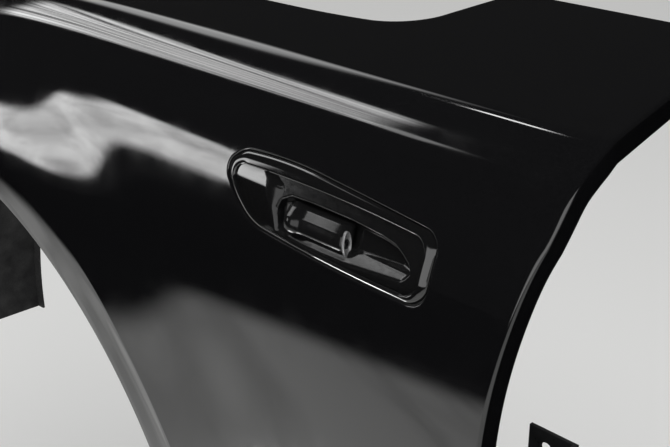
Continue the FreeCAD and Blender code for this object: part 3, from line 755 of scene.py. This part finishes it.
def oval(behind, half_y, half_z):
    """Points of an oval, a distance rearwards of the lens's seat."""
    count = 48
    turns = [2 * math.pi * k / count for k in range(count)]
    return [at_car(lens_x + behind, lens_y + half_y * math.cos(t), lens_z + half_z * math.sin(t))
            for t in turns]


metal = finish("lens_metal", (0.34, 0.34, 0.345), 0.35, Metallic=0.5)
ranged(metal, grain(metal, 900, 3), "Roughness", 0.25, 0.4)
# The ring's section: (rearwards, half width, half height)
ring_section = [(-0.6, 3.3, 8.0), (0.9, 3.3, 8.0), (1.15, 3.1, 7.8), (1.15, 2.8, 7.4), (0.7, 2.6, 6.6),
                (-0.2, 2.25, 2.6), (-0.6, 2.2, 2.3)]
lens_frame = closed_ring([oval(*place) for place in ring_section])
piece("lens_frame", lens_frame, metal, "lens_ring")
glass = finish("lens_glass", (0.002, 0.002, 0.003), 0.02, Coat_Weight=1.0)
ranged(glass, grain(glass, 400, 2), "Roughness", 0.015, 0.04)
# The dome's section: (rearwards, share of its half width and half height)
dome_wide, dome_high, dome_seat = 2.15, 2.2, -0.4
dome_section = [(0.05, 0.9), (0.35, 0.7), (0.5, 0.45), (0.58, 0.2)]
dome = bmesh.new()
edges, corners = ring_of(dome, oval(dome_seat, dome_wide, dome_high))
for behind, share in dome_section:
    edges, corners = next_ring(dome, edges, corners, oval(behind, dome_wide * share, dome_high * share))
bmesh.ops.contextual_create(dome, geom=corners)
bmesh.ops.recalc_face_normals(dome, faces=dome.faces)
piece("lens_dome", dome, glass, "lens_glass")

# Seal, case and lens barrel
# They come over from the construction as they are: a soft foamed-rubber seal round the opening,
# and a fine-grained black moulding for the case behind the skin and the barrel of the lens.
rubber = finish("seal_rubber", (0.02, 0.02, 0.02), 0.75, Specular_IOR_Level=0.3)
ranged(rubber, grain(rubber, 600, 4), "Base Color", (0.012, 0.012, 0.012), (0.03, 0.03, 0.03))
ranged(rubber, grain(rubber, 250, 3), "Roughness", 0.62, 0.85)
bumped(rubber, grain(rubber, 1800, 3), 4.0e-5)
case_plastic = finish("case_plastic", (0.014, 0.014, 0.0145), 0.4)
ranged(case_plastic, grain(case_plastic, 500, 4), "Base Color", (0.01, 0.01, 0.0105), (0.02, 0.02, 0.021))
ranged(case_plastic, grain(case_plastic, 300, 3), "Roughness", 0.32, 0.5)
bumped(case_plastic, grain(case_plastic, 3000, 2), 1.2e-5)


def dress(material, *names):
    """Gives one material to pieces that came over."""
    for name in names:
        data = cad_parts[name].data
        data.materials.clear()
        data.materials.append(material)


dress(rubber, "bezel_gasket")
dress(case_plastic, "camera_case", "lens_barrel")

# Arch liner and bumper guide
# Moulded from black polypropylene with a coarse leathery grain, dusty and a little paler where
# the grain stands up.
liner = finish("liner_plastic", (0.025, 0.025, 0.026), 0.6, Specular_IOR_Level=0.4)
ranged(liner, grain(liner, 55, 6), "Base Color", (0.016, 0.016, 0.017), (0.042, 0.042, 0.042))
ranged(liner, grain(liner, 420, 4), "Roughness", 0.48, 0.78)
bumped(liner, grain(liner, 520, 4), 1.5e-4)
dress(liner, "arch_liner", "bumper_guide")

# Brackets
# Folded from steel sheet and dip-coated black, with the faint waves that such a coat leaves. Two
# bolts hold each of them to the body.
coated = finish("dip_coat", (0.03, 0.03, 0.031), 0.35, Coat_Weight=0.25, Coat_Roughness=0.2)
ranged(coated, grain(coated, 120, 5), "Base Color", (0.02, 0.02, 0.0205), (0.042, 0.042, 0.043))
ranged(coated, grain(coated, 240, 4), "Roughness", 0.26, 0.46)
bumped(coated, grain(coated, 160, 3), 2.0e-5)
dress(coated, "rail_bracket_front", "rail_bracket_middle", "rail_bracket_rear", "pillar_bracket",
      "sill_bracket")

# Foam baffle
# A block of dark grey foam with open cells, cut to shape. It sits on the back of the liner and
# closes the gap up to the skin.
foam = finish("open_foam", (0.07, 0.07, 0.073), 0.9, Specular_IOR_Level=0.2)
ranged(foam, grain(foam, 700, 5), "Base Color", (0.028, 0.028, 0.03), (0.115, 0.115, 0.12))
ranged(foam, grain(foam, 300, 3), "Roughness", 0.82, 0.97)
bumped(foam, grain(foam, 700, 5), 6.0e-4)
dress(foam, "foam_baffle")

# Pieces that have a finer stand-in
# They keep the finish of the piece that stands for them.
dress(paint, "wing_panel")
dress(gloss, "camera_bezel", "camera_dish", "camera_pod")
dress(metal, "lens_ring")
dress(glass, "lens_glass")

# Floor
# A plain pale floor under the part, at the height of the ground. Polished faces see it only in a band
# outboard of the part, where soft painted streaks dim it; everywhere else its reflection is painted black, a
# painted shade.
floor_size, ground = 12.0, -0.350
bpy.ops.mesh.primitive_plane_add(size=1, location=(0, 0, 0))
floor = bpy.context.object
floor.name = "floor"
floor.data.transform(Matrix.Diagonal((floor_size, floor_size, 1, 1)))
floor.data.transform(Matrix.Translation((0, 0, ground + arch_centre.z)))
pale = finish("pale_floor", (0.80, 0.80, 0.79), 0.9, Specular_IOR_Level=0.0)
nodes, links = pale.node_tree.nodes, pale.node_tree.links
shader, output = nodes["Principled BSDF"], nodes["Material Output"]


def worked(operation, first, second):
    """One step of arithmetic, on numbers or on shares that other nodes give."""
    step = nodes.new("ShaderNodeMath")
    step.operation = operation
    for socket, value in zip(step.inputs, (first, second)):
        if isinstance(value, (int, float)):
            socket.default_value = value
        else:
            links.new(value, socket)
    return step.outputs["Value"]


def reach_along(vector, direction):
    """How far a vector points along a direction."""
    product = nodes.new("ShaderNodeVectorMath")
    product.operation = "DOT_PRODUCT"
    product.inputs[1].default_value = direction
    links.new(vector, product.inputs[0])
    return product.outputs["Value"]


def risen(value, start, end, least=0.0, kind="LINEAR"):
    """A share that rises from its least to one as the value goes from start to end."""
    rise = nodes.new("ShaderNodeMapRange")
    rise.interpolation_type = kind
    for name, number in (("From Min", start), ("From Max", end), ("To Min", least)):
        rise.inputs[name].default_value = number
    links.new(value, rise.inputs["Value"])
    return rise.outputs["Result"]


def blotches(vector, distortion=0.0):
    """A coarse noise with one cell to a unit of the vector."""
    noise = nodes.new("ShaderNodeTexNoise")
    for name, number in (("Scale", 1.0), ("Detail", 3.0), ("Distortion", distortion)):
        noise.inputs[name].default_value = number
    links.new(vector, noise.inputs["Vector"])
    return noise.outputs["Fac"]


def chosen(share, off, on):
    """One of two shaders, or a mixture of them, by a share."""
    switch = nodes.new("ShaderNodeMixShader")
    for socket, value in zip(switch.inputs, (share, off, on)):
        links.new(value, socket)
    return switch.outputs["Shader"]


# The lit band starts a little outboard of the part and ends about two metres away from it.
near_way, near_dark, near_lit = (0, -1, 0), 0.10, 0.40
far_way, far_dark, far_lit = (0.613, 0.790, 0), -2.06, -1.64
streak_turn, streak_cell = math.radians(-50), (0.14, 0.9, 1)
streak_dark, streak_lit, streak_least = 0.36, 0.58, 0.74
on_floor = nodes.new("ShaderNodeTexCoord").outputs["Object"]
sweep = nodes.new("ShaderNodeMapping")
sweep.vector_type = "TEXTURE"
sweep.inputs["Rotation"].default_value = (0, 0, streak_turn)
sweep.inputs["Scale"].default_value = streak_cell
links.new(on_floor, sweep.inputs["Vector"])
lit = worked("MULTIPLY", risen(reach_along(on_floor, far_way), far_dark, far_lit, kind="SMOOTHSTEP"),
             risen(reach_along(on_floor, near_way), near_dark, near_lit, kind="SMOOTHSTEP"))
# Soft painted streaks that dim the floor's reflection; camera rays see the floor plain.
reflected_streaks = risen(blotches(sweep.outputs["Vector"], 0.8), streak_dark, streak_lit, streak_least)
polished = nodes.new("ShaderNodeLightPath").outputs["Is Glossy Ray"]
# Outside the band and between the streaks, polished faces see painted black in place of the floor: painted
# shade in the reflection.
unlit_share = worked("MULTIPLY", polished, worked("SUBTRACT", 1.0, worked("MULTIPLY", lit, reflected_streaks)))
unlit = nodes.new("ShaderNodeEmission")
unlit.inputs["Color"].default_value = (0, 0, 0, 1)
both = chosen(unlit_share, shader.outputs["BSDF"], unlit.outputs["Emission"])
links.new(both, output.inputs["Surface"])
floor.data.materials.append(pale)

# Low lamp
# A flat lamp lies just over the floor outboard of the wing and faces up, for the thin lines that it
# draws along edges that face down. Only polished faces show it.
lamp_front, lamp_rear, lamp_near, lamp_far = -300.0, 20.0, -180.0, -620.0
lamp_height, lamp_strength = -349.0, 9.0
low_lamp_data = bpy.data.lights.new("low_lamp", "AREA")
low_lamp_data.shape = "RECTANGLE"
low_lamp_data.size, low_lamp_data.size_y = (lamp_rear - lamp_front) * MM, (lamp_near - lamp_far) * MM
low_lamp_data.energy = lamp_strength * math.pi * low_lamp_data.size * low_lamp_data.size_y
low_lamp = bpy.data.objects.new("low_lamp", low_lamp_data)
lamp_middle = at_car((lamp_front + lamp_rear) / 2, (lamp_near + lamp_far) / 2, lamp_height)
low_lamp.matrix_world = Matrix.Translation(lamp_middle) @ Matrix.Rotation(math.pi, 4, "X")
low_lamp.visible_camera = low_lamp.visible_diffuse = low_lamp.visible_transmission = False
scene.collection.objects.link(low_lamp)

# Studio
# The room is pale to the eye. Polished faces show it dim, with soft boxes hung in it.
world = bpy.data.worlds.new("studio")
scene.world = world
world.use_nodes = True
nodes, links = world.node_tree.nodes, world.node_tree.links
look = nodes.new("ShaderNodeTexCoord").outputs["Generated"]
dim_room, matt_room, seen_room = 0.012, 0.55, 0.72
least_ahead, box_dark, box_lit = 0.05, 0.35, 0.62


def soft_box(azimuth, height, half_wide, half_high, strength, soft, streaks=None, tilt=0):
    """A lamp's light by direction, with all angles in degrees. The azimuth is from straight outboard
    towards the rear, soft is the share of the box that fades, and the streaks are given as their
    count along and across, their lean and their least light."""
    azimuth, height = math.radians(azimuth), math.radians(height)
    centre = Vector((math.sin(azimuth) * math.cos(height), -math.cos(azimuth) * math.cos(height),
                     math.sin(height)))
    side = Vector((math.cos(azimuth), math.sin(azimuth), 0))
    up = side.cross(centre) * (1 if side.cross(centre).z > 0 else -1)
    turn = math.radians(tilt)
    side, up = (side * math.cos(turn) + up * math.sin(turn),
                up * math.cos(turn) - side * math.sin(turn))
    ahead = reach_along(look, centre)
    share = 1.0
    for axis, half in ((side, half_wide), (up, half_high)):
        offset = worked("DIVIDE", reach_along(look, axis), ahead)
        offset = worked("ABSOLUTE", worked("DIVIDE", offset, math.tan(math.radians(half))), 0.0)
        share = worked("MULTIPLY", risen(offset, 1.0, 1.0 - soft, kind="SMOOTHSTEP"), share)
    share = worked("MULTIPLY", share, worked("GREATER_THAN", ahead, least_ahead))
    if streaks:
        run, across, lean, least = streaks
        lean = math.radians(lean)
        join = nodes.new("ShaderNodeCombineXYZ")
        for socket, axis, count in (("X", side * math.cos(lean) + up * math.sin(lean), run),
                                    ("Y", up * math.cos(lean) - side * math.sin(lean), across)):
            place = worked("DIVIDE", reach_along(look, axis), ahead)
            links.new(worked("MULTIPLY", place, count), join.inputs[socket])
        reflected_streaks = risen(blotches(join.outputs["Vector"]), box_dark, box_lit, least)
        share = worked("MULTIPLY", share, reflected_streaks)
    return worked("MULTIPLY", share, strength)


# The front lamp, the streaked one over the crease with two small ones beside it, the deck's and
# the rear one
boxes = [soft_box(-50.7, 3.2, 5.0, 6.3, 4.4, 0.3, (26.0, 11.0, 0.0, 0.5)),
         soft_box(-68.3, 31.3, 10.2, 12.5, 4.8, 0.2, (2.5, 50.0, 79.0, 0.05), -45),
         soft_box(-51, 33.5, 3, 3.2, 1.6, 0.6),
         soft_box(-106.5, 52.5, 2, 2.5, 8, 0.5),
         soft_box(-110, 34, 16, 12, 1.2, 0.6),
         soft_box(24, 0, 50, 20, 1.4, 0.25)]
total = dim_room
for box in boxes:
    total = worked("ADD", box, total)


def backdrop(strength):
    """White light of a strength, given as a number or a share that is worked out."""
    plain = nodes.new("ShaderNodeBackground")
    plain.inputs["Color"].default_value = (1, 1, 1, 1)
    if isinstance(strength, (int, float)):
        plain.inputs["Strength"].default_value = strength
    else:
        links.new(strength, plain.inputs["Strength"])
    return plain.outputs["Background"]


path = nodes.new("ShaderNodeLightPath")
seen = worked("MAXIMUM", path.outputs["Is Camera Ray"], path.outputs["Is Transmission Ray"])
room = chosen(path.outputs["Is Glossy Ray"], backdrop(matt_room), backdrop(total))
room = chosen(seen, room, backdrop(seen_room))
links.new(room, nodes["World Output"].inputs["Surface"])

# Overhead lamp
# One large soft lamp lights the floor and the matt faces, and polished faces don't show it.
lamp_size, lamp_power = 3.0, 90.0
lamp_data = bpy.data.lights.new("overhead", "AREA")
lamp_data.shape = "RECTANGLE"
lamp_data.size = lamp_data.size_y = lamp_size
lamp_data.energy = lamp_power
lamp = bpy.data.objects.new("overhead", lamp_data)
lamp_place = Vector((0.6, -1.6, 3.0))
lamp_turn = (-lamp_place).to_track_quat("-Z", "Y").to_matrix().to_4x4()
lamp.matrix_world = Matrix.Translation(lamp_place) @ lamp_turn
lamp.visible_glossy = False
scene.collection.objects.link(lamp)

# Camera
# It stands behind the wing and above it, and looks forwards and down at the unit. Its focal length
# is in the photograph's pixels.
focal_px, image_px, sensor = 1200.0, 670.0, 36.0
view_from = at_car(924.0, -433.5, 686.7)
yaw, pitch = math.radians(43.50), math.radians(22.76)
ahead = Vector((-math.cos(yaw) * math.cos(pitch), math.sin(yaw) * math.cos(pitch), -math.sin(pitch)))
camera_data = bpy.data.cameras.new("camera")
camera_data.sensor_width = sensor
camera_data.lens = sensor * focal_px / image_px
camera = bpy.data.objects.new("camera", camera_data)
camera_turn = ahead.to_track_quat("-Z", "Y").to_matrix().to_4x4()
camera.matrix_world = Matrix.Translation(view_from) @ camera_turn
scene.collection.objects.link(camera)
scene.camera = camera
scene.view_settings.view_transform = "Standard"
